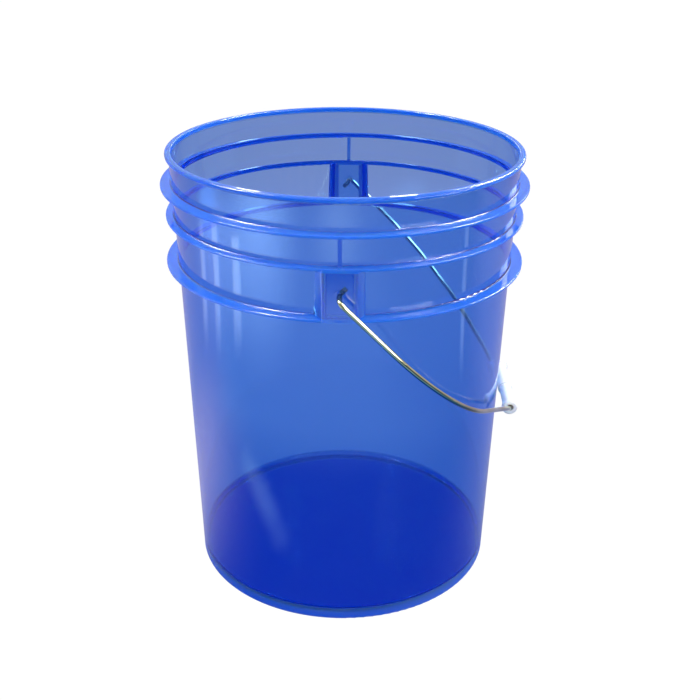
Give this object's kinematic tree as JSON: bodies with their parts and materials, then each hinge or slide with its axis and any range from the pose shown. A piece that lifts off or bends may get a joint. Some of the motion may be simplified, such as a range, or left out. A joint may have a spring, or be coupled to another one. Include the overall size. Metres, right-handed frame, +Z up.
{
  "type": "open plastic pail with a wire bail",
  "caption": "Tapered translucent plastic pail with a beaded rim, ring flanges, boxed ears, and a steel wire bail that carries a turning plastic hand grip.",
  "frame": {"origin": "centre of the foot ring, on the plane the pail stands on", "axes": "+Z up along the pail's axis; +Y and -Y through the two bail ears; +X towards the side on which the bail hangs at rest"},
  "size_m": [0.2958, 0.3186, 0.3666],
  "materials": {
    "bucket_plastic": "smooth translucent blue, glossy",
    "plated_wire": "bright zinc plating with a faint yellow passivation",
    "grip_plastic": "smooth opaque white"
  },
  "bodies": {
    "bucket": {"bucket": "bucket_plastic"},
    "bail": {"bail_wire": "plated_wire"},
    "grip": {"bail_grip": "grip_plastic"}
  },
  "joints": [
    {"name": "bail_swing", "type": "hinge", "parent": "bucket", "child": "bail", "pos_m": [0, 0, 0.2963], "axis": [0, -1, 0], "range_deg": [0, 270.2]},
    {"name": "grip_spin", "type": "hinge", "parent": "bail", "child": "grip", "pos_m": [0.14146, 0, 0.15435], "axis": [0, 1, 0], "continuous": true}
  ]
}
